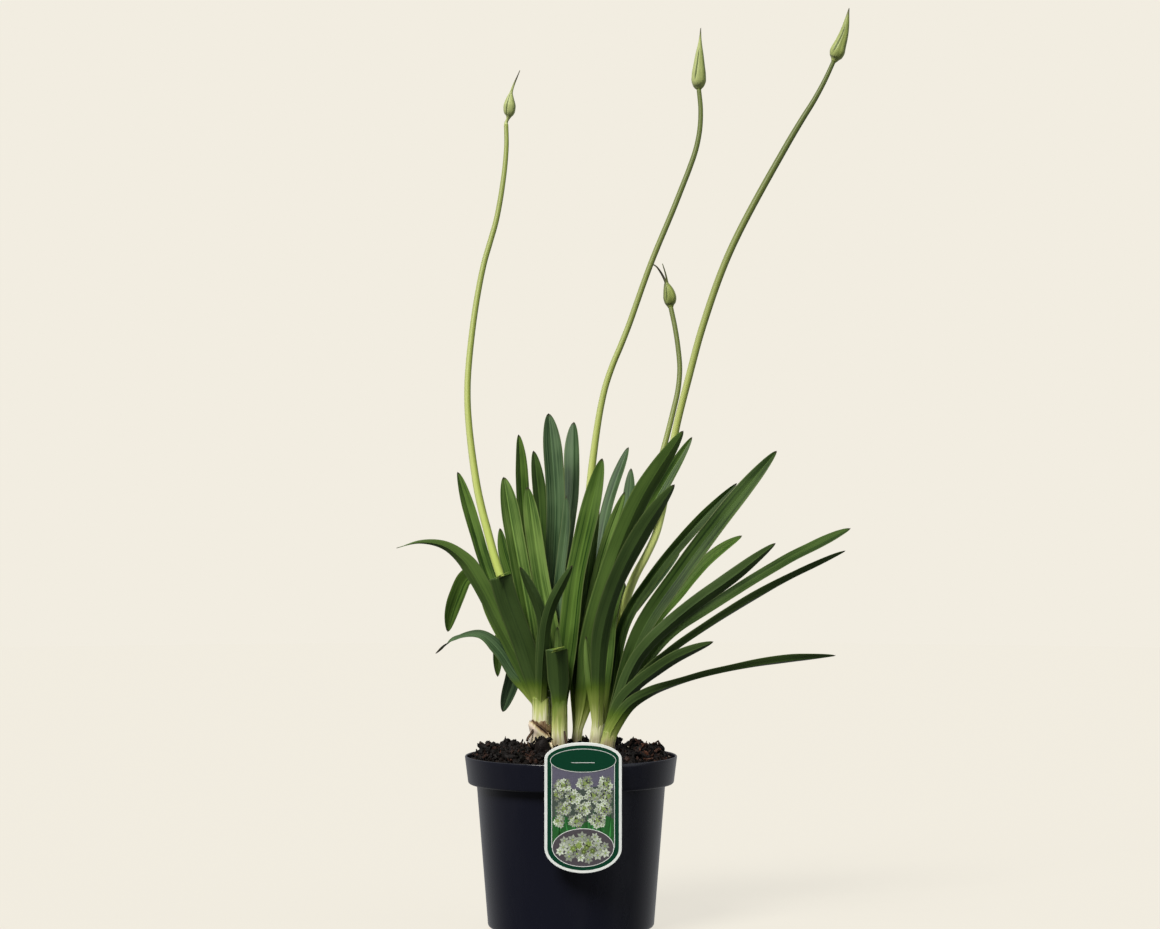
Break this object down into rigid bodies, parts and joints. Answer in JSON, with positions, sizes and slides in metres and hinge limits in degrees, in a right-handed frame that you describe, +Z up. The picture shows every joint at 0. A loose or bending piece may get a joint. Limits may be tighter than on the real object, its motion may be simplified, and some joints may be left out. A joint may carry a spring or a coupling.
{
  "type": "potted agapanthus plant",
  "caption": "Agapanthus plant in bud in a round nursery pot: fans of strap leaves and tall bare stems with closed buds, rising from soil, with a plain care card hooked on the rim.",
  "frame": {"origin": "centre of the pot's flat underside", "axes": "+Z up; -Y is the front, where the care card hangs; +X is to the right as seen from the front, the side that the longest leaves and the tallest stem lean to"},
  "size_m": [0.3744, 0.2634, 0.7476],
  "materials": {
    "pot_plastic": "satin",
    "soil": "matte",
    "card": "gloss",
    "dry_sheath": "matte",
    "neck": "satin",
    "leaf": "satin",
    "stem": "satin",
    "bud": "satin"
  },
  "bodies": {
    "root": {"pot": "pot_plastic", "soil": "soil", "care_card": "card", "dry_sheath": "dry_sheath", "leaf_left_1": "leaf", "leaf_left_2": "leaf", "leaf_left_3": "leaf", "leaf_left_4": "leaf", "leaf_left_5": "leaf", "leaf_left_6": "leaf", "leaf_left_rear_1": "leaf", "leaf_left_rear_2": "leaf", "leaf_left_rear_3": "leaf", "leaf_left_rear_4": "leaf", "leaf_left_rear_5": "leaf", "leaf_left_rear_6": "leaf", "leaf_front_1": "leaf", "leaf_front_2": "leaf", "leaf_front_3": "leaf", "leaf_front_4": "leaf", "leaf_front_5": "leaf", "leaf_front_6": "leaf", "leaf_front_7": "leaf", "leaf_front_8": "leaf", "leaf_middle_1": "leaf", "leaf_middle_2": "leaf", "leaf_middle_3": "leaf", "leaf_middle_4": "leaf", "leaf_middle_5": "leaf", "leaf_right_middle_1": "leaf", "leaf_right_middle_2": "leaf", "leaf_right_middle_3": "leaf", "leaf_right_middle_4": "leaf", "leaf_right_middle_5": "leaf", "leaf_right_1": "leaf", "leaf_right_2": "leaf", "leaf_right_3": "leaf", "leaf_right_4": "leaf", "leaf_right_5": "leaf", "leaf_right_rear_1": "leaf", "leaf_right_rear_2": "leaf", "leaf_right_rear_3": "leaf", "leaf_right_rear_4": "leaf", "leaf_right_rear_5": "leaf", "neck_left": "neck", "neck_left_rear": "neck", "neck_front": "neck", "neck_middle": "neck", "neck_right_middle": "neck", "neck_right": "neck", "neck_right_rear": "neck", "stem_left": "stem", "stem_middle": "stem", "stem_right_short": "stem", "stem_right": "stem", "bud_left": "bud", "bud_middle": "bud", "bud_right": "bud", "bud_short": "bud"}
  },
  "joints": []
}
